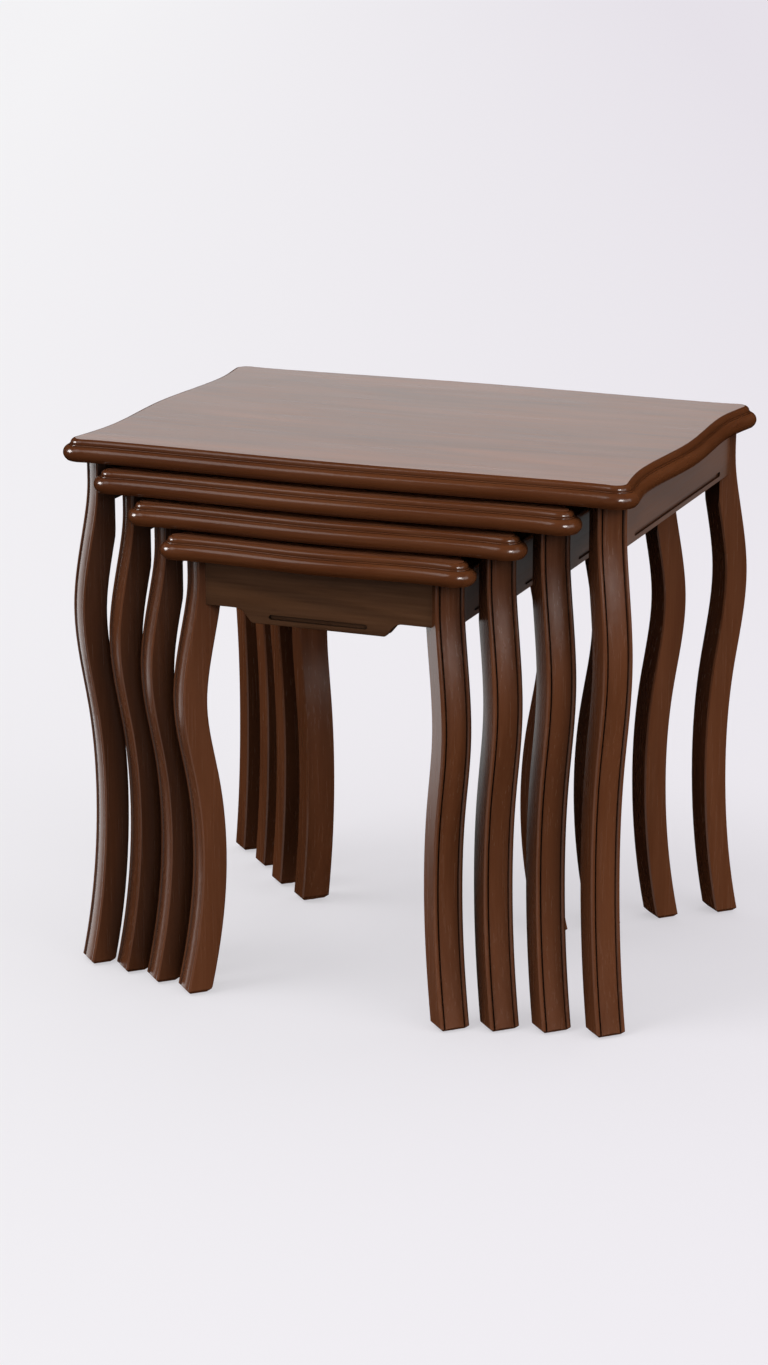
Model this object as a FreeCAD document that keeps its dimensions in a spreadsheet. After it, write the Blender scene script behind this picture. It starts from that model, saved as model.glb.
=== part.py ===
import FreeCAD, Part
import math
import os

import Sketcher
from FreeCAD import Placement, Rotation, Vector

# Nest of four tables, millimetres. +X to the right along the long side, +Y to the back, +Z up.
# The origin is on the floor, under the middle of the whole nest's bounding box.

TABLES = (1, 2, 3, 4)
UP = Vector(0, 0, 1)
ALONG_X = Vector(1, 0, 0)

doc = FreeCAD.newDocument("nest_of_tables")
sheet = doc.addObject("Spreadsheet::Sheet", "Sizes")

COMMON_SIZES = {
    # heights
    "height_largest": 563,
    "height_step": 26.5,
    # tops
    "top_thickness": 22,
    "nose_reach": 12.8,
    "bead_size": 5,
    "small_bead_size": 0.8,
    "quirk_depth": 0.5,
    "nose_undercut": 4.2,
    "nose_widest_share": 0.47,
    "nose_foot_ease": 0.8,
    "tip_flare": 9,
    "front_bow": 4.5,
    "front_dip": 2,
    "front_dip_inset": 55,
    "side_dip": 6,
    "side_dip_inset": 62,
    # legs: the outer face's distance from the foot's centre along the diagonal
    "leg_width": 32,
    "leg_depth": 26,
    "foot_reach": 17.4,
    "ankle_reach": -5.6,
    "shin_reach": 0.3,
    "knee_reach": 13,
    "neck_reach": -3.4,
    "leg_top_reach": -4,
    "foot_outer": 13.2,
    "foot_slope": -0.25,
    "ankle_share": 0.295,
    "knee_below_top": 150,
    "neck_below_top": 40,
    "foot_chamfer": 4,
    "edge_bead_width": 4.6,
    "edge_bead_rise": 1.7,
    "groove_width": 1.3,
    "groove_depth": 2.6,
    "field_crown": 1.3,
    "leg_back_ease": 1.5,
    # aprons
    "apron_height": 48,
    "apron_thickness": 16,
    "apron_outset": 2.5,
    "apron_ease": 1.2,
    "apron_groove_width": 5,
    "apron_groove_depth": 2.2,
    "apron_groove_rise": 8,
    "apron_groove_inset": 34,
    "front_apron_drop": 14,
    "front_apron_flat": 139,
    "front_groove_length": 105,
    "ogee_lower_radius": 4,
    "ogee_upper_radius": 14,
    "ogee_turn": 50,
    # fixings
    "glide_thickness": 1,
    "glide_radius": 7,
    "dowel_radius": 2.5,
    "dowel_length": 26,
    "dowel_in_leg": 9,
    "dowel_spacing": 24,
    "top_dowel_radius": 3,
    "top_dowel_length": 24,
    "screw_radius": 2,
    "screw_inset": 10,
    "screw_in_top": 12,
    "screw_head_radius": 4,
    "screw_head_height": 2.6,
    "counterbore_radius": 4.5,
    "counterbore_depth": 24,
}

# For each table: the flat field's half-length at its front tips, at its waist and at its rear tips, its
# tips' radius, how far the outline turns in behind a front tip, the feet's half-spacings, how far the
# table stands in front of and to the left of the largest one, the inner face of its leg tops, and its
# top's overhangs at the feet.
# A smaller table's front tips reach out in front of the next table's legs, and behind them its top is
# narrow enough to pass between those legs.
TABLE_SIZES = {
    "front_tip": (292.5, 245.5, 198.5, 154),
    "waist": (291.5, 234.5, 187, 143.5),
    "rear_tip": (292.5, 234.5, 187, 143.5),
    "tip_radius": (10, 8, 8, 8),
    "front_tip_turn": (9, 43, 38, 38),
    "foot_half_length": (281.5, 232.5, 186.5, 141),
    "foot_half_depth": (199, 182, 164.5, 153.5),
    "setforward": (0, 26, 59, 88),
    "set_left": (0, 5, 8.5, 9.5),
    "leg_top_inner": (-23.5, -23.5, -23.5, -29),
    "front_overhang": (11.2, 17, 14, 14),
    "rear_overhang": (11.2, 4.7, 4.7, 4.7),
}


def word(index):
    """The table's number as a word, because an alias may not look like a cell address."""
    return ("one", "two", "three", "four")[index - 1]


def fill_sheet():
    rows = list(COMMON_SIZES.items())
    for name, values in TABLE_SIZES.items():
        rows += [(f"{name}_{word(i)}", values[i - 1]) for i in TABLES]
    for row, (name, value) in enumerate(rows, start=1):
        sheet.set(f"A{row}", name)
        sheet.set(f"B{row}", str(value))
        sheet.setAlias(f"B{row}", name)
    doc.recompute()


def size(name, index=None):
    return float(sheet.get(name if index is None else f"{name}_{word(index)}"))


fill_sheet()

TOP_THICKNESS = size("top_thickness")
GLIDE = size("glide_thickness")
LEG_WIDTH = size("leg_width")
LEG_DEPTH = size("leg_depth")
APRON_HEIGHT = size("apron_height")
APRON_THICKNESS = size("apron_thickness")
OUTSET = size("apron_outset")

# How far raw stock is drawn past a piece before the piece is trimmed to its outline.
SPARE_LENGTH = 15
SPARE_SIDE = 60


# ---------------------------------------------------------------- places in the nest

def front_y(index):
    """The front tips of a table's flat field, seen from the largest table's centre."""
    return -size("setforward", index) - size("foot_half_depth", index) - size("front_overhang", index)


def rear_y(index):
    return -size("setforward", index) + size("foot_half_depth", index) + size("rear_overhang", index)


# The nest reaches from the smallest table's nose to the largest one's, and its middle is the origin.
EDGE_REACH = size("front_bow") + size("nose_reach")
NEST_SHIFT = -(front_y(4) - EDGE_REACH + rear_y(1) + EDGE_REACH) / 2


def table_centre(index):
    return Vector(-size("set_left", index), NEST_SHIFT - size("setforward", index), 0)


def underside(index):
    """Height of the top's underside, which is also the top of the legs and aprons."""
    return size("height_largest") - (index - 1) * size("height_step") - TOP_THICKNESS


# ---------------------------------------------------------------- document helpers

def attach(sketch, body, role):
    plane = [f for f in body.Origin.OriginFeatures if f.Role == role][0]
    sketch.AttachmentSupport = [(plane, "")]
    sketch.MapMode = "FlatFace"


def body_sketch(body, role, name):
    sketch = body.newObject("Sketcher::SketchObject", name)
    attach(sketch, body, role)
    return sketch


def new_body(label):
    body = doc.addObject("PartDesign::Body", label)
    body.Label = label
    return body


def loose_sketch(name, placement=Placement()):
    sketch = doc.addObject("Sketcher::SketchObject", name)
    sketch.Placement = placement
    return sketch


def polygon(sketch, points):
    closed = list(points) + [points[0]]
    for start, end in zip(closed, closed[1:]):
        sketch.addGeometry(Part.LineSegment(start, end))


def circle(sketch, x, y, alias):
    """A circle at (x, y) whose radius is bound to a cell."""
    index = sketch.addGeometry(Part.Circle(Vector(x, y, 0), UP, size(alias)))
    number = sketch.addConstraint(Sketcher.Constraint("Radius", index, size(alias)))
    sketch.setExpression(f"Constraints[{number}]", f"Sizes.{alias}")


def pad(body, sketch, expression, reverse=False, midplane=False):
    feature = body.newObject("PartDesign::Pad", f"{body.Name}_pad")
    feature.Profile = sketch
    feature.Reversed = reverse
    feature.Midplane = midplane
    feature.setExpression("Length", expression)
    doc.recompute()
    return feature


def pocket(body, sketch, expression, reverse=False, through=False):
    """A pocket, which must take something away."""
    before = body.Shape.Volume
    feature = body.newObject("PartDesign::Pocket", f"{sketch.Name}_pocket")
    feature.Profile = sketch
    feature.Reversed = reverse
    if through:
        feature.Type = "ThroughAll"
        feature.Midplane = True
    else:
        feature.setExpression("Length", expression)
    doc.recompute()
    if body.Shape.Volume > before - 1:
        raise ValueError(f"{feature.Name} removes nothing")
    return feature


def extrusion(name, sketch, direction, forward, backward=0.0):
    feature = doc.addObject("Part::Extrusion", name)
    feature.Base = sketch
    feature.Dir = direction
    feature.LengthFwd = forward
    feature.LengthRev = backward
    feature.Solid = True
    return feature


def cylinder(name, radius_alias, length, base, direction):
    feature = doc.addObject("Part::Cylinder", name)
    feature.setExpression("Radius", f"Sizes.{radius_alias}")
    feature.Height = length
    feature.Placement = Placement(base, Rotation(UP, direction))
    return feature


def group(name, parts):
    feature = doc.addObject("Part::Compound", name)
    feature.Links = parts
    return feature


def cut(name, base, tools):
    feature = doc.addObject("Part::Cut", name)
    feature.Base = base
    feature.Tool = tools[0] if len(tools) == 1 else fuse(f"{name}_tools", tools)
    return feature


def fuse(name, parts):
    feature = doc.addObject("Part::MultiFuse", name)
    feature.Shapes = parts
    return feature


def common(name, parts):
    feature = doc.addObject("Part::MultiCommon", name)
    feature.Shapes = parts
    return feature


# ---------------------------------------------------------------- table tops

def spline(points, start_tangent, end_tangent):
    curve = Part.BSplineCurve()
    curve.interpolate(Points=points, InitialTangent=start_tangent, FinalTangent=end_tangent)
    return curve


def around(centre, radius, degrees):
    angle = math.radians(degrees)
    return centre + Vector(radius * math.cos(angle), radius * math.sin(angle), 0)


def heading(degrees):
    return around(Vector(), 1, degrees)


def flipped(curve):
    """The same curve turned half a turn about the Y axis, for the left half of an outline."""
    mirrored = curve.copy()
    mirrored.mirror(Vector(0, 0, 0), Vector(0, 1, 0))
    return mirrored


def outline(index):
    """The flat field's outline as a run of curves from the front's middle round to the rear's middle."""
    radius = size("tip_radius", index)
    flare = size("tip_flare")
    turn = size("front_tip_turn", index)
    front = front_y(index)
    rear = rear_y(index)
    waist = size("waist", index)
    inset = size("side_dip_inset")
    front_tip = Vector(size("front_tip", index) - radius, front + radius, 0)
    rear_tip = Vector(size("rear_tip", index) - radius, rear - radius, 0)
    front_dip = Vector(size("front_tip", index) - size("front_dip_inset"), front + size("front_dip"), 0)
    rear_dip = Vector(size("rear_tip", index) - size("front_dip_inset"), rear - size("front_dip"), 0)
    front_start = around(front_tip, radius, -90 - flare)
    front_end = around(front_tip, radius, turn)
    rear_start = around(rear_tip, radius, -flare)
    rear_end = around(rear_tip, radius, 90 + flare)
    side_points = [
        front_end,
        Vector(waist - size("side_dip"), front + inset, 0),
        Vector(waist, (front + rear) / 2, 0),
        Vector(waist - size("side_dip"), rear - inset, 0),
        rear_start,
    ]
    return [
        spline([Vector(0, front - size("front_bow"), 0), front_dip, front_start], ALONG_X, heading(-flare)),
        Part.Arc(front_start, around(front_tip, radius, -45), front_end),
        spline(side_points, heading(90 + turn), heading(90 - flare)),
        Part.Arc(rear_start, around(rear_tip, radius, 45), rear_end),
        spline([rear_end, rear_dip, Vector(0, rear + size("front_bow"), 0)], heading(180 + flare), -ALONG_X),
    ]


def draw_outline(sketch, index):
    half = outline(index)
    for curve in half:
        sketch.addGeometry(curve)
    for curve in reversed(half):
        sketch.addGeometry(flipped(curve))


def edge_profile(name, index):
    """The moulding's section at the middle of the front edge: a bead, a small second bead and a nose."""
    top = TOP_THICKNESS
    bead = size("bead_size")
    small = size("small_bead_size")
    quirk = size("quirk_depth")
    ease = size("nose_foot_ease")
    nose_reach = size("nose_reach")
    foot_reach = nose_reach - size("nose_undercut")
    glue_overlap = 3.0
    half_turn = math.sin(math.radians(45))
    # sketch axes: x runs outward from the flat field's edge and y is the height over the underside
    bead_end = Vector(bead, top - bead, 0)
    small_start = bead_end + Vector(quirk, -quirk, 0)
    small_end = small_start + Vector(small, -small, 0)
    nose_start = small_end + Vector(quirk, -quirk, 0)
    nose_front = Vector(nose_reach, nose_start.y * size("nose_widest_share"), 0)
    nose_end = Vector(foot_reach + ease, ease, 0)
    foot_middle = Vector(foot_reach + ease / 2, ease / 4, 0)
    foot_end = Vector(foot_reach - ease / 2, 0, 0)
    bead_middle = Vector(bead * half_turn, top - bead + bead * half_turn, 0)
    small_middle = Vector(small_start.x + small * half_turn, small_end.y + small * half_turn, 0)
    inner_low = Vector(-glue_overlap, 0, 0)
    inner_high = Vector(-glue_overlap, top, 0)
    start = Vector(0, top, 0)

    edge = front_y(index) - size("front_bow")
    sketch = loose_sketch(name, Placement(Vector(0, edge, 0), Rotation(Vector(0, -1, 0), UP, ALONG_X, "XYZ")))
    sketch.addGeometry(Part.Arc(start, bead_middle, bead_end))
    for step_from, step_to in ((bead_end, small_start), (small_end, nose_start)):
        corner = Vector(step_from.x, step_to.y, 0)
        sketch.addGeometry(Part.LineSegment(step_from, corner))
        sketch.addGeometry(Part.LineSegment(corner, step_to))
    sketch.addGeometry(Part.Arc(small_start, small_middle, small_end))
    sketch.addGeometry(Part.Arc(nose_start, nose_front, nose_end))
    sketch.addGeometry(Part.Arc(nose_end, foot_middle, foot_end))
    for first, second in ((foot_end, inner_low), (inner_low, inner_high), (inner_high, start)):
        sketch.addGeometry(Part.LineSegment(first, second))
    return sketch


def mitre_wedges(index):
    """Four prisms that meet on the 45-degree mitres through the tips' centres."""
    radius = size("tip_radius", index)
    out, into = 50, SPARE_SIDE
    corners = {}
    for side in (-1, 1):
        for name, tip, y, depth in (
            ("front", "front_tip", front_y(index) + radius, -1),
            ("rear", "rear_tip", rear_y(index) - radius, 1),
        ):
            centre = Vector(side * (size(tip, index) - radius), y, 0)
            diagonal = Vector(side, depth, 0)
            corners[name, side] = (centre + diagonal * out, centre - diagonal * into)
    sides = {
        "front": (("front", -1), ("front", 1)),
        "right": (("front", 1), ("rear", 1)),
        "rear": (("rear", 1), ("rear", -1)),
        "left": (("rear", -1), ("front", -1)),
    }
    wedges = {}
    for name, (first, second) in sides.items():
        sketch = loose_sketch(f"mitre_{word(index)}_{name}")
        polygon(sketch, [corners[first][0], corners[second][0], corners[second][1], corners[first][1]])
        wedges[name] = extrusion(f"wedge_{word(index)}_{name}", sketch, UP, TOP_THICKNESS)
    return wedges


def top_panel(index, top_screws):
    """Veneered panel: the flat field, with blind holes in its underside for the dowels and screws."""
    label = f"table_{index}_top_panel"
    body = new_body(label)
    sketch = body_sketch(body, "XY_Plane", f"{label}_outline")
    draw_outline(sketch, index)
    pad(body, sketch, "Sizes.top_thickness")
    holes = body_sketch(body, "XY_Plane", f"{label}_screw_holes")
    place = Vector(-size("set_left", index), NEST_SHIFT, underside(index))
    for point in top_screws:
        circle(holes, point.x - place.x, point.y - place.y, "screw_radius")
    pocket(body, holes, "Sizes.screw_in_top", reverse=True)
    dowels = body_sketch(body, "XY_Plane", f"{label}_dowel_holes")
    for x, y in leg_top_centres(index):
        circle(dowels, x, y, "top_dowel_radius")
    pocket(body, dowels, "Sizes.top_dowel_length / 2", reverse=True)
    body.Placement = Placement(place, Rotation())
    return body


def top_mouldings(index):
    """Solid mouldings glued round the panel and mitred at its tips."""
    spine = loose_sketch(f"edge_line_{word(index)}")
    draw_outline(spine, index)
    profile = edge_profile(f"edge_profile_{word(index)}", index)
    doc.recompute()
    ring = doc.addObject("Part::Sweep", f"edge_ring_{word(index)}")
    ring.Sections = [profile]
    ring.Spine = (spine, [f"Edge{n + 1}" for n in range(len(spine.Shape.Edges))])
    ring.Solid = True
    ring.Frenet = False
    core_sketch = loose_sketch(f"panel_line_{word(index)}")
    draw_outline(core_sketch, index)
    core = extrusion(f"panel_core_{word(index)}", core_sketch, UP, TOP_THICKNESS)
    frame = cut(f"edge_frame_{word(index)}", ring, [core])
    wedges = mitre_wedges(index)
    pieces = {side: common(f"moulding_{word(index)}_{side}", [frame, wedge]) for side, wedge in wedges.items()}
    nodes = {
        "front_moulding": pieces["front"],
        "rear_moulding": pieces["rear"],
        "side_mouldings": group(f"side_mouldings_{word(index)}", [pieces["left"], pieces["right"]]),
    }
    place = Vector(-size("set_left", index), NEST_SHIFT, underside(index))
    for name, piece in nodes.items():
        piece.Label = f"table_{index}_{name}"
        piece.Placement = Placement(place, Rotation())
    return list(nodes.values())


# ---------------------------------------------------------------- legs

CORNERS = {
    "front_left": (-1, -1, 225),
    "front_right": (1, -1, 315),
    "rear_right": (1, 1, 45),
    "rear_left": (-1, 1, 135),
}


def foot_centre(index, side_x, side_y):
    centre = table_centre(index)
    half_x = size("foot_half_length", index)
    half_y = size("foot_half_depth", index)
    return centre + Vector(side_x * half_x, side_y * half_y, 0)


def leg_curve(leg_top):
    """The S-curve of a leg's outer face in its own XZ plane, with X outward along the diagonal."""
    ankle = size("ankle_share") * leg_top
    knee = leg_top - size("knee_below_top")
    points = [
        Vector(size("foot_reach"), 0, -SPARE_LENGTH),
        Vector(size("ankle_reach"), 0, ankle),
        Vector(size("shin_reach"), 0, (ankle + knee) / 2),
        Vector(size("knee_reach"), 0, knee),
        Vector(size("neck_reach"), 0, leg_top - size("neck_below_top")),
        Vector(size("leg_top_reach"), 0, leg_top + SPARE_LENGTH),
    ]
    return spline(points, Vector(size("foot_slope"), 0, 1), UP)


def leg_section(name, start, tangent):
    """Crowned field between two grooves and two edge beads, square across the curve at its start."""
    outward = Vector(tangent.z, 0, -tangent.x)
    sketch = loose_sketch(name, Placement(start, Rotation(outward, Vector(0, 1, 0), tangent, "XYZ")))
    half = LEG_WIDTH / 2
    bead = size("edge_bead_width")
    rise = size("edge_bead_rise")
    groove = size("groove_width")
    deep = -size("groove_depth")
    crown = size("field_crown")
    ease = size("leg_back_ease")
    field = half - bead - groove
    right = [
        Vector(-rise, half, 0),
        Vector(0, half - bead / 2, 0),
        Vector(-rise, half - bead, 0),
        Vector(deep, half - bead - groove / 2, 0),
        Vector(-crown, field, 0),
    ]
    left = [Vector(p.x, -p.y, 0) for p in right]
    for edge in (right, left):
        sketch.addGeometry(Part.Arc(edge[0], edge[1], edge[2]))
        sketch.addGeometry(Part.LineSegment(edge[2], edge[3]))
        sketch.addGeometry(Part.LineSegment(edge[3], edge[4]))
    sketch.addGeometry(Part.Arc(right[4], Vector(0, 0, 0), left[4]))
    back = [
        right[0],
        Vector(-LEG_DEPTH + ease, half, 0),
        Vector(-LEG_DEPTH, half - ease, 0),
        Vector(-LEG_DEPTH, -half + ease, 0),
        Vector(-LEG_DEPTH + ease, -half, 0),
        left[0],
    ]
    for first, second in zip(back, back[1:]):
        sketch.addGeometry(Part.LineSegment(first, second))
    return sketch


def leg_blank(index):
    """One leg in its own frame, before its dowel holes: the swept board, trimmed by two outlines."""
    leg_top = underside(index)
    curve = leg_curve(leg_top)
    name = word(index)
    spine = loose_sketch(f"leg_line_{name}", Placement(Vector(), Rotation(ALONG_X, UP, Vector(0, -1, 0), "XYZ")))
    flat = curve.copy()
    flat.transform(Placement(Vector(), Rotation(ALONG_X, -90)).toMatrix())
    spine.addGeometry(flat)
    start = curve.value(curve.FirstParameter)
    tangent = Vector(*curve.tangent(curve.FirstParameter)[0])
    section = leg_section(f"leg_section_{name}", start, tangent)
    doc.recompute()
    stock = doc.addObject("Part::Sweep", f"leg_stock_{name}")
    stock.Sections = [section]
    stock.Spine = (spine, ["Edge1"])
    stock.Solid = True
    stock.Frenet = False

    chamfer = size("foot_chamfer")
    wide = SPARE_SIDE
    foot_outer = size("foot_outer") - chamfer
    foot_inner = foot_outer + 2 * chamfer - LEG_DEPTH
    half = LEG_WIDTH / 2 - chamfer
    inner = size("leg_top_inner", index)
    shoulder = leg_top - size("knee_below_top") + chamfer
    side = loose_sketch(f"leg_side_{name}", Placement(Vector(), Rotation(ALONG_X, UP, Vector(0, -1, 0), "XYZ")))
    polygon(side, [
        Vector(foot_inner, GLIDE, 0),
        Vector(foot_outer, GLIDE, 0),
        Vector(foot_outer + wide, GLIDE + wide, 0),
        Vector(foot_outer + wide, leg_top, 0),
        Vector(inner, leg_top, 0),
        Vector(inner, shoulder, 0),
        Vector(inner - wide, shoulder - wide, 0),
        Vector(foot_inner - wide, GLIDE + wide, 0),
    ])
    front = loose_sketch(f"leg_front_{name}", Placement(Vector(), Rotation(Vector(0, 1, 0), UP, ALONG_X, "XYZ")))
    polygon(front, [
        Vector(-half, GLIDE, 0),
        Vector(half, GLIDE, 0),
        Vector(half + wide, GLIDE + wide, 0),
        Vector(half + wide, leg_top + wide, 0),
        Vector(-half - wide, leg_top + wide, 0),
        Vector(-half - wide, GLIDE + wide, 0),
    ])
    side_solid = extrusion(f"leg_side_solid_{name}", side, Vector(0, 1, 0), wide, wide)
    front_solid = extrusion(f"leg_front_solid_{name}", front, ALONG_X, 2 * wide, 2 * wide)
    return common(f"leg_blank_{name}", [stock, side_solid, front_solid])


def leg_top_radius(index):
    """Distance along the diagonal from the foot's centre to the middle of the leg's top."""
    return (size("leg_top_reach") + size("leg_top_inner", index)) / 2


def leg_top_centres(index):
    """Where the top dowels stand, seen from the largest table's centre."""
    shift = leg_top_radius(index) / math.sqrt(2)
    half_x = size("foot_half_length", index) + shift
    half_y = size("foot_half_depth", index) + shift
    forward = size("setforward", index)
    return [(sx * half_x, sy * half_y - forward) for sx, sy, _ in CORNERS.values()]


def apron_meeting():
    """Where an apron's dowel line meets the leg's flat side, in the leg's own frame (left-hand side)."""
    behind_face = APRON_THICKNESS / 3
    offset = OUTSET - behind_face
    # the dowel line runs at 135 degrees to the diagonal and passes the foot's centre at this offset
    line_point = Vector(offset / math.sqrt(2), offset / math.sqrt(2), 0)
    direction = Vector(-1, 1, 0) / math.sqrt(2)
    steps = (LEG_WIDTH / 2 - line_point.y) / direction.y
    return line_point + direction * steps, direction


def dowel_heights(index):
    middle = underside(index) - APRON_HEIGHT / 2
    half = size("dowel_spacing") / 2
    return (middle - half, middle + half)


def leg_tools(index, side):
    """Dowels of one apron joint, in the leg's own frame; side is +1 or -1."""
    meeting, direction = apron_meeting()
    start = meeting - direction * size("dowel_in_leg")
    tools = []
    for count, height in enumerate(dowel_heights(index)):
        base = Vector(start.x, side * start.y, height)
        along = Vector(direction.x, side * direction.y, 0)
        name = f"joint_dowel_{word(index)}_{'left' if side > 0 else 'right'}_{count}"
        tools.append(cylinder(name, "dowel_radius", size("dowel_length"), base, along))
    return tools


def top_dowel(index):
    base = Vector(leg_top_radius(index), 0, underside(index) - size("top_dowel_length") / 2)
    return cylinder(f"top_dowel_{word(index)}", "top_dowel_radius", size("top_dowel_length"), base, UP)


def joint_sides(index, corner):
    """Which flat sides of a leg meet an apron: -1 is the leg's right side seen from outside, +1 its left."""
    side_apron = -1 if corner in ("front_left", "rear_right") else 1
    if corner.startswith("rear") or index == TABLES[-1]:
        return (side_apron, -side_apron)
    return (side_apron,)


def legs_and_dowels(index):
    blank = leg_blank(index)
    tools = {side: leg_tools(index, side) for side in (-1, 1)}
    centre_dowel = top_dowel(index)
    nodes = []
    dowel_sets = []
    for corner, (side_x, side_y, angle) in CORNERS.items():
        place = Placement(foot_centre(index, side_x, side_y), Rotation(UP, angle))
        used = [centre_dowel]
        for side in joint_sides(index, corner):
            used += tools[side]
        leg = cut(f"table_{index}_{corner}_leg", blank, used)
        leg.Label = f"table_{index}_{corner}_leg"
        leg.Placement = place
        nodes.append(leg)
        dowels = group(f"dowels_{word(index)}_{corner}", used)
        dowels.Placement = place
        dowel_sets.append(dowels)
    dowel_node = group(f"table_{index}_dowels", dowel_sets)
    dowel_node.Label = f"table_{index}_dowels"
    nodes.append(dowel_node)
    return nodes


# ---------------------------------------------------------------- aprons

def mitre_offset():
    """How far past the foot's centre line an apron's outer face starts, measured along the apron."""
    return LEG_WIDTH / math.sqrt(2) - OUTSET


def screw_places(half, count):
    """Places of the screws along an apron, evenly spread between its ends."""
    step = 2 * half / count
    return [-half + step * (n + 0.5) for n in range(count)]


def front_apron_line(half):
    """Lower edge of the shaped apron from left to right: flat, ogee, dropped middle, ogee, flat."""
    lower = size("ogee_lower_radius")
    upper = size("ogee_upper_radius")
    turn = math.radians(size("ogee_turn"))
    drop = size("front_apron_drop")
    slope = (drop - (lower + upper) * (1 - math.cos(turn))) / math.sin(turn)
    start = size("front_apron_flat") / 2
    low_bend = Vector(start + lower * math.sin(turn), -drop + lower * (1 - math.cos(turn)), 0)
    high_bend = low_bend + Vector(math.cos(turn), math.sin(turn), 0) * slope
    end = Vector(high_bend.x + upper * math.sin(turn), 0, 0)
    half_turn = turn / 2
    low_mid = Vector(start + lower * math.sin(half_turn), -drop + lower * (1 - math.cos(half_turn)), 0)
    high_mid = Vector(end.x - upper * math.sin(half_turn), -upper * (1 - math.cos(half_turn)), 0)
    right = [
        Part.Arc(Vector(start, -drop, 0), low_mid, low_bend),
        Part.LineSegment(low_bend, high_bend),
        Part.Arc(high_bend, high_mid, end),
        Part.LineSegment(end, Vector(half, 0, 0)),
    ]
    return right + [flipped(c) for c in right] + [
        Part.LineSegment(Vector(-start, -drop, 0), Vector(start, -drop, 0)),
    ]


def ease_lower_edge(body, board):
    """Rounds the board's lower outer edge from end to end."""
    names = []
    for number, edge in enumerate(board.Shape.Edges, start=1):
        if all(abs(v.Y) < 0.001 and v.Z < 0.001 for v in edge.Vertexes):
            names.append(f"Edge{number}")
    feature = body.newObject("PartDesign::Fillet", f"{body.Name}_eased")
    feature.Base = (board, names)
    feature.setExpression("Radius", "Sizes.apron_ease")
    doc.recompute()


def apron(label, half_spacing, place, dowels, shaped, screws):
    """A board with mitred ends. Its frame: X along it, its outer face at Y 0 with Y inward, Z 0 at its foot."""
    half = half_spacing - mitre_offset()
    body = new_body(label)
    face = body_sketch(body, "XZ_Plane", f"{label}_face")
    height = APRON_HEIGHT
    if shaped:
        for curve in front_apron_line(half):
            face.addGeometry(curve)
        corners = [Vector(half, 0, 0), Vector(half, height, 0), Vector(-half, height, 0), Vector(-half, 0, 0)]
        for first, second in zip(corners, corners[1:]):
            face.addGeometry(Part.LineSegment(first, second))
    else:
        polygon(face, [Vector(-half, 0, 0), Vector(half, 0, 0), Vector(half, height, 0), Vector(-half, height, 0)])
    board = pad(body, face, "Sizes.apron_thickness", reverse=True)
    ease_lower_edge(body, board)
    mitres = body_sketch(body, "XY_Plane", f"{label}_mitres")
    for side in (-1, 1):
        start = Vector(side * half, 0, 0)
        polygon(mitres, [
            start,
            start + Vector(-side * APRON_THICKNESS, APRON_THICKNESS, 0),
            start + Vector(0, APRON_THICKNESS, 0),
        ])
    pocket(body, mitres, "", through=True)

    groove_half = half - size("apron_groove_inset")
    groove_height = size("apron_groove_rise")
    if shaped:
        groove_half = size("front_groove_length") / 2
        groove_height -= size("front_apron_drop")
    radius = size("apron_groove_width") / 2
    groove = body_sketch(body, "XZ_Plane", f"{label}_groove")
    ends = [groove_half - radius, -groove_half + radius]
    for x, sign in zip(ends, (1, -1)):
        top = Vector(x, groove_height + radius, 0)
        low = Vector(x, groove_height - radius, 0)
        groove.addGeometry(Part.Arc(low, Vector(x + sign * radius, groove_height, 0), top))
    for offset in (radius, -radius):
        left = Vector(ends[1], groove_height + offset, 0)
        groove.addGeometry(Part.LineSegment(left, Vector(ends[0], groove_height + offset, 0)))
    pocket(body, groove, "Sizes.apron_groove_depth")

    places = screw_places(half - APRON_THICKNESS, screws)
    screw_inset = size("screw_inset")
    shanks = body_sketch(body, "XY_Plane", f"{label}_screw_holes")
    for x in places:
        circle(shanks, x, screw_inset, "screw_radius")
    pocket(body, shanks, "", through=True)
    heads = body_sketch(body, "XY_Plane", f"{label}_counterbores")
    for x in places:
        circle(heads, x, screw_inset, "counterbore_radius")
    pocket(body, heads, "Sizes.counterbore_depth", reverse=True)
    if shaped:
        lower = body_sketch(body, "XY_Plane", f"{label}_counterbores_below")
        for x in places:
            if abs(x) < size("front_apron_flat") / 2 + APRON_THICKNESS:
                circle(lower, x, screw_inset, "counterbore_radius")
        pocket(body, lower, "Sizes.front_apron_drop")
    body.Placement = place

    drilled = cut(f"{label}_drilled", body, [dowels])
    drilled.Label = f"{label}_drilled"
    screw_points = [place.multVec(Vector(x, screw_inset, 0)) for x in places]
    return drilled, screw_points


def aprons(index, dowels):
    """Side and rear aprons, and the shaped front one on the smallest table."""
    half_x = size("foot_half_length", index)
    half_y = size("foot_half_depth", index)
    centre = table_centre(index)
    base = underside(index) - APRON_HEIGHT
    rows = [
        ("left_apron", half_y, Vector(-half_x - OUTSET, 0, base), -90, False, 2),
        ("right_apron", half_y, Vector(half_x + OUTSET, 0, base), 90, False, 2),
        ("rear_apron", half_x, Vector(0, half_y + OUTSET, base), 180, False, 3),
    ]
    if index == TABLES[-1]:
        rows.append(("front_apron", half_x, Vector(0, -half_y - OUTSET, base), 0, True, 3))
    nodes = []
    screws = []
    for name, half_spacing, offset, angle, shaped, count in rows:
        place = Placement(centre + offset, Rotation(UP, angle))
        node, points = apron(f"table_{index}_{name}", half_spacing, place, dowels, shaped, count)
        nodes.append(node)
        screws += points
    return nodes, screws


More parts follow.
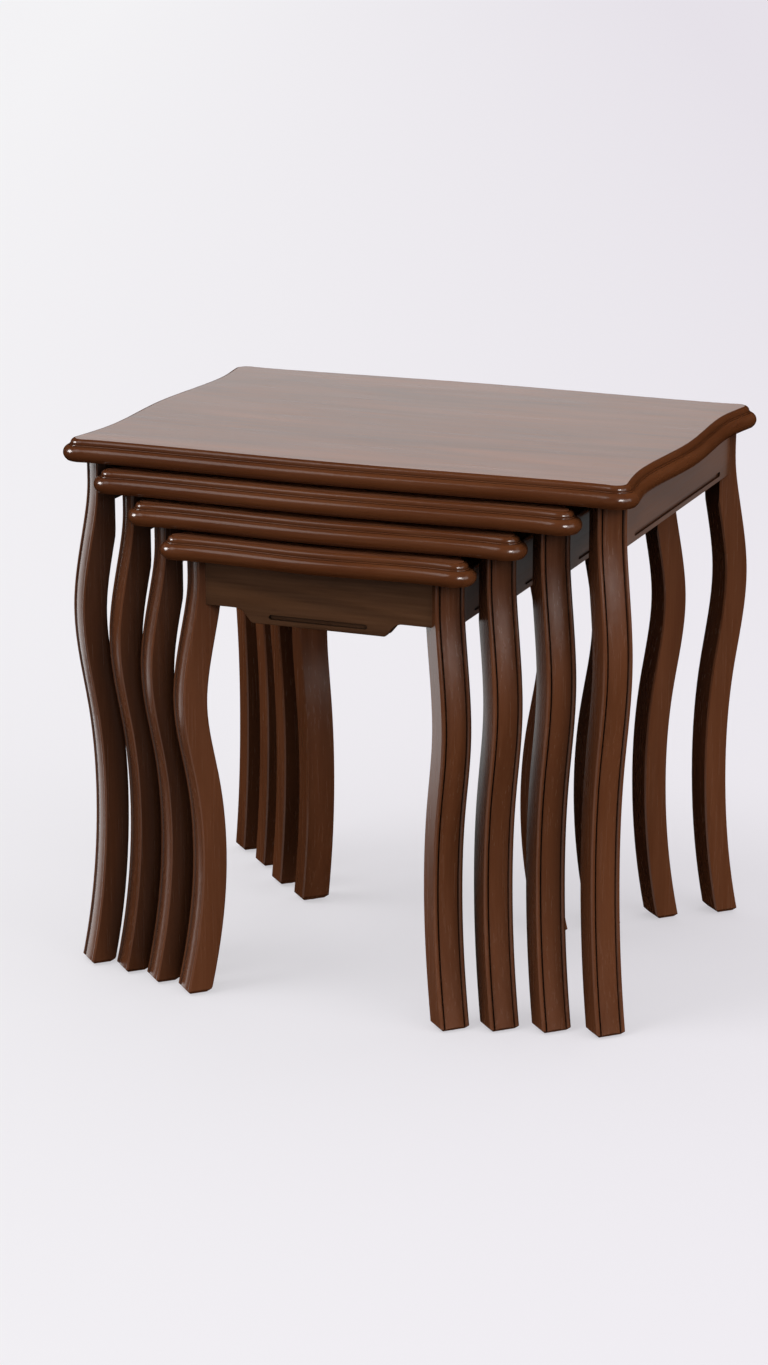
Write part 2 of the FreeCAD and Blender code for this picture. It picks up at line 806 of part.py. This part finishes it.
def screw_node(index, points):
    """Pan-head screws that come up through the aprons, their heads at the end of the counterbores."""
    start = underside(index) - APRON_HEIGHT + size("counterbore_depth")
    end = underside(index) + size("screw_in_top")
    head = size("screw_head_height")
    parts = []
    for count, point in enumerate(points):
        shank = cylinder(f"shank_{word(index)}_{count}", "screw_radius", end - start,
                         Vector(point.x, point.y, start), UP)
        cap = cylinder(f"cap_{word(index)}_{count}", "screw_head_radius", head,
                       Vector(point.x, point.y, start - head), UP)
        parts.append(fuse(f"screw_{word(index)}_{count}", [shank, cap]))
    node = group(f"table_{index}_top_screws", parts)
    node.Label = f"table_{index}_top_screws"
    return node


def glide_node(index):
    """Round glides under the feet."""
    middle = (size("foot_outer") - LEG_DEPTH / 2) / math.sqrt(2)
    parts = []
    for corner, (side_x, side_y, _) in CORNERS.items():
        centre = foot_centre(index, side_x, side_y) + Vector(side_x, side_y, 0) * middle
        parts.append(cylinder(f"glide_{word(index)}_{corner}", "glide_radius", GLIDE, centre, UP))
    node = group(f"table_{index}_glides", parts)
    node.Label = f"table_{index}_glides"
    return node


def build_table(index):
    nodes = legs_and_dowels(index)
    apron_nodes, points = aprons(index, dowels=nodes[-1])
    nodes += apron_nodes
    nodes.append(screw_node(index, points))
    nodes.append(glide_node(index))
    nodes.append(top_panel(index, points))
    nodes += top_mouldings(index)
    return nodes


def write_nodes(nodes):
    doc.recompute()
    bad = [o.Label for o in doc.Objects if "Invalid" in o.State or "Error" in o.State]
    if bad:
        raise ValueError(f"failed objects: {bad}")
    os.makedirs("parts", exist_ok=True)
    for node in nodes:
        shape = node.Shape
        if shape.isNull() or not shape.isValid() or not shape.Solids:
            raise ValueError(f"{node.Label} has no valid solid")
        name = node.Label.replace("_drilled", "")
        shape.exportStep(f"parts/{name}.step")
        print(name, len(shape.Solids), round(shape.Volume))


all_nodes = []
for table in TABLES:
    all_nodes += build_table(table)
write_nodes(all_nodes)
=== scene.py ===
import math

import bpy
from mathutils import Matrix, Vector

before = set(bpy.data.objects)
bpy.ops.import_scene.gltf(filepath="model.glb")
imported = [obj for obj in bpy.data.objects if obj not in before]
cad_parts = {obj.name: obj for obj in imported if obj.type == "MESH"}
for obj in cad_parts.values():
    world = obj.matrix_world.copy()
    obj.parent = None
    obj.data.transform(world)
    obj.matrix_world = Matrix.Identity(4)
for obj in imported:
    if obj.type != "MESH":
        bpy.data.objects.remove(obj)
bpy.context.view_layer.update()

# colours are linear RGB, lengths are metres, angles are degrees: azimuth 0 is the front, 90 the right side
AXES = {"x": 0, "y": 1, "z": 2}
NO_OFFSET = (0.0, 0.0, 0.0)

# stained wood, for each kind of piece: (dark, middle, light)
MOULDING_TONES = ((0.098, 0.028, 0.009), (0.143, 0.044, 0.014), (0.200, 0.073, 0.027))
LEG_TONES = ((0.118, 0.036, 0.012), (0.192, 0.063, 0.024), (0.268, 0.104, 0.045))
# front apron: darker, partly its own darker wood and partly painted shade from the top's overhang
FRONT_APRON_TONES_WITH_PAINTED_SHADE = ((0.042, 0.017, 0.007), (0.140, 0.059, 0.024), (0.230, 0.106, 0.048))
# side aprons: lighter, partly their own reddish wood and partly a painted sheen
SIDE_APRON_TONES_WITH_PAINTED_SHEEN = ((0.100, 0.034, 0.013), (0.170, 0.060, 0.024), (0.230, 0.090, 0.040))
VENEER_TONES = ((0.080, 0.024, 0.010), (0.232, 0.078, 0.033), (0.430, 0.175, 0.088))
# the quirks and grooves darken towards this near-black colour, by how closed in they are within this reach
HOLLOW_DARK_COLOUR = (0.006, 0.003, 0.002)
HOLLOW_DARK_REACH = 0.004
# painted shade: its colour and strength on wood that faces its neighbours closely
SHADE_COLOUR = (0.010, 0.005, 0.003)
SHADE_STRENGTH = 0.85

# painted shade: how far off its neighbours darken a piece, and the open share of the sky below which that
# begins
PAINTED_SHADE_SETTINGS = (0.07, 0.72)
LEG_PAINTED_SHADE_SETTINGS = (0.13, 0.93)

# the finish of each kind of piece: (tones, roughness, coat, contrast, darkening in its hollows, painted
# shade from close neighbours).
# A hollow darkening of 0 means neither that darkening nor painted shade.
FINISHES = {
    "top_panel": (VENEER_TONES, 0.3, 0.2, 1.0, 0.0, None),
    "front_apron": (FRONT_APRON_TONES_WITH_PAINTED_SHADE, 0.32, 0.1, 0.7, 0.6, PAINTED_SHADE_SETTINGS),
    "apron": (SIDE_APRON_TONES_WITH_PAINTED_SHEEN, 0.32, 0.1, 0.7, 0.6, PAINTED_SHADE_SETTINGS),
    "moulding": (MOULDING_TONES, 0.18, 0.1, 0.6, 0.7, PAINTED_SHADE_SETTINGS),
    "mouldings": (MOULDING_TONES, 0.18, 0.1, 0.6, 0.7, PAINTED_SHADE_SETTINGS),
    "leg": (LEG_TONES, 0.24, 0.1, 0.5, 0.6, LEG_PAINTED_SHADE_SETTINGS),
}

# the axis that the grain runs along, x where none is given
GRAIN = {"leg": "z", "left_apron": "y", "right_apron": "y", "side_mouldings": "y"}

FLOOR_SIZE = 60.0
# the floor's colour and glow are painted darker from left to right, a painted falloff of light; the glow is
# painted light that keeps shadows pale
FLOOR_PAINTED_FALLOFF_REACH = 1.2
FLOOR_BASE_WITH_PAINTED_FALLOFF = ((0.415, 0.413, 0.418), (0.365, 0.350, 0.375))
FLOOR_PAINTED_GLOW = ((1.00, 0.995, 1.01), (0.88, 0.845, 0.90))
FLOOR_PAINTED_GLOW_STRENGTH = 0.52
SKY_BELOW = (0.16, 0.15, 0.15)
SKY_ABOVE = (1.0, 0.99, 1.01)
SKY_STRENGTH = 0.72

LIGHT_TARGET = Vector((0.0, -0.05, 0.45))
# reflections: (azimuth, elevation, distance, width, height, radiance), and the endings of the pieces' names
CARDS = {
    "low_right_card": ((158.0, -8.0, 3.5, 3.2, 1.6, 0.24), ("apron", "front_right_leg")),
    "low_left_card": ((-112.0, -8.0, 3.0, 2.2, 1.6, 1.3), ("front_left_leg", "front_right_leg")),
    "low_front_card": ((-5.0, -32.0, 3.5, 4.6, 2.2, 0.45), ("leg",)),
    "nose_card": ((-48.0, 48.0, 2.8, 1.3, 1.3, 1.6), ("moulding", "mouldings")),
    "left_card": ((-72.0, 25.0, 2.8, 0.9, 0.9, 18.0), ("moulding", "mouldings", "leg")),
    "right_card": ((46.0, 25.0, 2.8, 0.8, 0.8, 18.0), ("moulding", "mouldings", "leg")),
    "rear_card": ((212.5, 13.0, 4.5, 3.6, 1.5, 1.05), ("top_panel",)),
}

CAMERA_AZIMUTH = 21.89
CAMERA_ELEVATION = 16.01
CAMERA_DISTANCE = 3.601
CAMERA_TARGET = Vector((-0.0082, -0.0491, 0.300))
CAMERA_LENS_MM = 91.53
CAMERA_SENSOR_MM = 36.0


# ---------------------------------------------------------------- small node helpers

def new_material(name):
    material = bpy.data.materials.new(name)
    material.use_nodes = True
    tree = material.node_tree
    tree.nodes.clear()
    output = tree.nodes.new("ShaderNodeOutputMaterial")
    shader = tree.nodes.new("ShaderNodeBsdfPrincipled")
    tree.links.new(shader.outputs["BSDF"], output.inputs["Surface"])
    return material, tree, shader


def add(tree, kind, **inputs):
    node = tree.nodes.new(kind)
    for name, value in inputs.items():
        node.inputs[name.replace("_", " ")].default_value = value
    return node


def link(tree, source, socket):
    tree.links.new(source, socket)


def noise(tree, vector, scale, detail=4.0, roughness=0.55, distortion=0.0):
    settings = dict(Scale=scale, Detail=detail, Roughness=roughness, Distortion=distortion)
    node = add(tree, "ShaderNodeTexNoise", **settings)
    link(tree, vector, node.inputs["Vector"])
    return node.outputs["Fac"]


def remap(tree, value, low, high, out_low=0.0, out_high=1.0):
    node = tree.nodes.new("ShaderNodeMapRange")
    link(tree, value, node.inputs["Value"])
    for socket, number in zip(("From Min", "From Max", "To Min", "To Max"), (low, high, out_low, out_high)):
        node.inputs[socket].default_value = number
    return node.outputs["Result"]


def maths(tree, operation, first, second):
    node = tree.nodes.new("ShaderNodeMath")
    node.operation = operation
    for socket, value in zip(node.inputs, (first, second)):
        if isinstance(value, (int, float)):
            socket.default_value = value
        else:
            link(tree, value, socket)
    return node.outputs["Value"]


def mix_colour(tree, factor, first, second):
    node = tree.nodes.new("ShaderNodeMix")
    node.data_type = "RGBA"
    link(tree, factor, node.inputs["Factor"])
    for socket, value in zip((node.inputs[6], node.inputs[7]), (first, second)):
        if isinstance(value, tuple):
            socket.default_value = (*value, 1.0)
        else:
            link(tree, value, socket)
    return node.outputs[2]


# ---------------------------------------------------------------- materials

def grain_space(tree, axis, stretch, offset):
    """Object space squeezed along the grain, so every texture runs in long streaks that way."""
    place = tree.nodes.new("ShaderNodeTexCoord")
    mapping = tree.nodes.new("ShaderNodeMapping")
    mapping.inputs["Location"].default_value = offset
    scale = [1.0, 1.0, 1.0]
    scale[AXES[axis]] = 1.0 / stretch
    mapping.inputs["Scale"].default_value = scale
    link(tree, place.outputs["Object"], mapping.inputs["Vector"])
    return mapping.outputs["Vector"]


def closeness(tree, reach, samples, local, open_share, closed_share, strength):
    """0 where the sky is open within reach, up to the strength where it is closed."""
    hollow = tree.nodes.new("ShaderNodeAmbientOcclusion")
    hollow.samples = samples
    hollow.only_local = local
    hollow.inputs["Distance"].default_value = reach
    return remap(tree, hollow.outputs["AO"], closed_share, open_share, strength, 0.0)


def darken_hollows_and_paint_shade(tree, tone, hollow_darkening, painted_shade):
    """Darker in the quirks and grooves, by how closed in they are, and painted shade on wood that faces its
    neighbours closely.
    """
    # darker in the quirks and grooves, by how closed in they are
    hollow_dark = closeness(tree, HOLLOW_DARK_REACH, 6, True, 0.92, 0.45, hollow_darkening)
    tone = mix_colour(tree, hollow_dark, tone, HOLLOW_DARK_COLOUR)
    # painted shade where neighbouring pieces close in
    reach, open_share = painted_shade
    shade = closeness(tree, reach, 8, False, open_share, open_share - 0.5, SHADE_STRENGTH)
    return mix_colour(tree, shade, tone, SHADE_COLOUR)


def wood_tone(tree, fibres, pores, figure, tones, contrast):
    dark, middle, light = tones
    pore_colour = tuple(0.4 * channel for channel in dark)
    tone = mix_colour(tree, remap(tree, figure, 0.3, 0.7), dark, middle)
    tone = mix_colour(tree, remap(tree, fibres, 0.4, 0.8, 0.0, 0.5 * contrast), tone, light)
    return mix_colour(tree, maths(tree, "MULTIPLY", pores, 0.3 * contrast), tone, pore_colour)


def stained_wood(name, axis, offset, tones, roughness, coat, contrast, hollow_darkening, painted_shade):
    """Walnut-stained wood under satin lacquer: broad figure, fine fibres, open pores and a clear coat."""
    material, tree, shader = new_material(name)
    figure_space = grain_space(tree, axis, 7.0, offset)
    fibre_space = grain_space(tree, axis, 30.0, offset)
    pore_space = grain_space(tree, axis, 14.0, offset)
    figure = noise(tree, figure_space, 14.0, detail=3.0, roughness=0.5, distortion=1.6)
    fibres = noise(tree, fibre_space, 330.0, detail=3.0, roughness=0.6)
    pores = remap(tree, noise(tree, pore_space, 900.0, detail=1.0), 0.66, 0.74)
    tone = wood_tone(tree, fibres, pores, figure, tones, contrast)
    # darker in the quirks and grooves, and painted shade where neighbours close in
    if hollow_darkening:
        tone = darken_hollows_and_paint_shade(tree, tone, hollow_darkening, painted_shade)
    link(tree, tone, shader.inputs["Base Color"])
    link(tree, remap(tree, fibres, 0.3, 0.7, roughness - 0.03, roughness + 0.05), shader.inputs["Roughness"])
    height = maths(tree, "SUBTRACT", maths(tree, "MULTIPLY", fibres, 0.3), pores)
    bump = add(tree, "ShaderNodeBump", Strength=0.03, Distance=0.0001)
    link(tree, height, bump.inputs["Height"])
    link(tree, bump.outputs["Normal"], shader.inputs["Normal"])
    shader.inputs["Coat Weight"].default_value = coat
    shader.inputs["Coat Roughness"].default_value = 0.14
    return material


def plain_beech(name):
    material, tree, shader = new_material(name)
    space = grain_space(tree, "x", 12.0, NO_OFFSET)
    flecks = remap(tree, noise(tree, space, 500.0, detail=3.0), 0.4, 0.65)
    link(tree, mix_colour(tree, flecks, (0.42, 0.25, 0.13), (0.62, 0.43, 0.26)), shader.inputs["Base Color"])
    link(tree, remap(tree, flecks, 0.0, 1.0, 0.55, 0.7), shader.inputs["Roughness"])
    return material


def zinc_steel(name):
    material, tree, shader = new_material(name)
    space = grain_space(tree, "z", 1.0, NO_OFFSET)
    mottle = noise(tree, space, 300.0, detail=3.0)
    link(tree, mix_colour(tree, mottle, (0.45, 0.45, 0.43), (0.66, 0.65, 0.62)), shader.inputs["Base Color"])
    link(tree, remap(tree, mottle, 0.3, 0.7, 0.25, 0.42), shader.inputs["Roughness"])
    shader.inputs["Metallic"].default_value = 1.0
    return material


def glide_plastic(name):
    material, tree, shader = new_material(name)
    space = grain_space(tree, "z", 1.0, NO_OFFSET)
    speckle = noise(tree, space, 1500.0, detail=2.0)
    tone = mix_colour(tree, speckle, (0.012, 0.009, 0.008), (0.03, 0.024, 0.02))
    link(tree, tone, shader.inputs["Base Color"])
    link(tree, remap(tree, speckle, 0.3, 0.7, 0.45, 0.6), shader.inputs["Roughness"])
    return material


def by_ending(table, node, otherwise=None):
    """The entry of the first key that the node's name ends with."""
    for ending, entry in table.items():
        if node.endswith(ending):
            return entry
    return otherwise


def paint_nodes():
    """Every CAD node keeps its shape, and each wooden one is cut from a piece of wood of its own."""
    shared = {
        "dowels": plain_beech("beech"),
        "top_screws": zinc_steel("zinc_steel"),
        "glides": glide_plastic("glide_plastic"),
    }
    for count, (name, node) in enumerate(sorted(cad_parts.items())):
        kind = name.split("_", 2)[2]
        material = shared.get(kind)
        if material is None:
            offset = (0.37 * count, 0.61 * count, 0.23 * count)
            label = name + ("_veneer" if kind == "top_panel" else "_wood")
            grain = by_ending(GRAIN, name, otherwise="x")
            material = stained_wood(label, grain, offset, *by_ending(FINISHES, name))
        node.data.materials.clear()
        node.data.materials.append(material)


# ---------------------------------------------------------------- stage, lights and camera

def make_floor():
    """A white sweep that glows a little, as painted light that keeps shadows on it pale. It throws no light
    on the tables.

    Its colour and glow are painted darker from left to right, as seen by the camera: a painted falloff of
    light."""
    bpy.ops.mesh.primitive_plane_add(size=FLOOR_SIZE, location=(0, 0, 0))
    floor = bpy.context.object
    floor.name = "studio_floor"
    floor.visible_glossy = False
    floor.visible_diffuse = False
    floor.visible_shadow = False
    material, tree, shader = new_material("floor_paint")
    place = tree.nodes.new("ShaderNodeTexCoord")
    across = tree.nodes.new("ShaderNodeVectorMath")
    across.operation = "DOT_PRODUCT"
    link(tree, place.outputs["Object"], across.inputs[0])
    turn = math.radians(CAMERA_AZIMUTH)
    across.inputs[1].default_value = (math.cos(turn), math.sin(turn), 0.0)
    # painted falloff of light: lighter on the left, darker on the right, as seen by the camera
    painted_falloff = remap(tree, across.outputs["Value"], -FLOOR_PAINTED_FALLOFF_REACH, FLOOR_PAINTED_FALLOFF_REACH)
    base_colour = mix_colour(tree, painted_falloff, *FLOOR_BASE_WITH_PAINTED_FALLOFF)
    painted_glow = mix_colour(tree, painted_falloff, *FLOOR_PAINTED_GLOW)
    link(tree, base_colour, shader.inputs["Base Color"])
    link(tree, painted_glow, shader.inputs["Emission Color"])
    shader.inputs["Emission Strength"].default_value = FLOOR_PAINTED_GLOW_STRENGTH
    shader.inputs["Roughness"].default_value = 0.9
    shader.inputs["Specular IOR Level"].default_value = 0.0
    floor.data.materials.append(material)


def make_world():
    """A white studio overhead and a dim one below. The lacquer doesn't see it, as if black flags hid it."""
    world = bpy.data.worlds.new("studio")
    world.use_nodes = True
    tree = world.node_tree
    background = tree.nodes["Background"]
    place = tree.nodes.new("ShaderNodeTexCoord")
    split = tree.nodes.new("ShaderNodeSeparateXYZ")
    link(tree, place.outputs["Generated"], split.inputs["Vector"])
    height = remap(tree, split.outputs["Z"], -0.12, -0.01)
    link(tree, mix_colour(tree, height, SKY_BELOW, SKY_ABOVE), background.inputs["Color"])
    background.inputs["Strength"].default_value = SKY_STRENGTH
    world.cycles_visibility.glossy = False
    bpy.context.scene.world = world


def direction(azimuth, elevation):
    """The unit vector from the tables towards something seen at that azimuth and elevation."""
    turn, lift = math.radians(azimuth), math.radians(elevation)
    return Vector((math.sin(turn) * math.cos(lift), -math.cos(turn) * math.cos(lift), math.sin(lift)))


def aim(name, data, target, back, distance):
    """An object at that distance from the target, looking at it."""
    thing = bpy.data.objects.new(name, data)
    thing.location = target + back * distance
    thing.rotation_mode = "QUATERNION"
    thing.rotation_quaternion = (-back).to_track_quat("-Z", "Y")
    bpy.context.collection.objects.link(thing)
    return thing


def softbox(name, azimuth, elevation, distance, width, height, radiance):
    """A rectangular light aimed at the tables."""
    data = bpy.data.lights.new(name, "AREA")
    data.shape = "RECTANGLE"
    data.size = width
    data.size_y = height
    data.energy = radiance * math.pi * width * height
    return aim(name, data, LIGHT_TARGET, direction(azimuth, elevation), distance)


def card(name, where, endings):
    """A softbox that is only a reflection in the lacquer of the pieces whose names end like that."""
    lamp = softbox(name, *where)
    lamp.visible_diffuse = False
    seen_by = bpy.data.collections.new(name + "_pieces")
    for node_name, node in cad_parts.items():
        if node_name.endswith(endings):
            seen_by.objects.link(node)
    lamp.light_linking.receiver_collection = seen_by


def soft_sun(name, towards, strength, degrees):
    """A wide sun that shines towards that direction and isn't seen in the lacquer."""
    data = bpy.data.lights.new(name, "SUN")
    data.energy = strength
    data.angle = math.radians(degrees)
    lamp = bpy.data.objects.new(name, data)
    lamp.rotation_mode = "QUATERNION"
    lamp.rotation_quaternion = Vector(towards).to_track_quat("-Z", "Y")
    lamp.visible_glossy = False
    bpy.context.collection.objects.link(lamp)


def make_lights():
    soft_sun("key_sun", towards=(0.55, 0.45, -1.0), strength=0.75, degrees=28.0)
    softbox("right_fill", azimuth=72.0, elevation=18.0, distance=3.5, width=2.5, height=1.6, radiance=2.0)
    for name, (where, endings) in CARDS.items():
        card(name, where, endings)


def make_camera():
    """The viewpoint: 22 degrees round to the right, 16 degrees up and 3.6 m away."""
    data = bpy.data.cameras.new("camera")
    data.lens = CAMERA_LENS_MM
    data.sensor_width = CAMERA_SENSOR_MM
    data.clip_end = 200.0
    back = direction(CAMERA_AZIMUTH, CAMERA_ELEVATION)
    bpy.context.scene.camera = aim("camera", data, CAMERA_TARGET, back, CAMERA_DISTANCE)


bpy.context.scene.view_settings.view_transform = "Standard"
paint_nodes()
make_floor()
make_world()
make_lights()
make_camera()
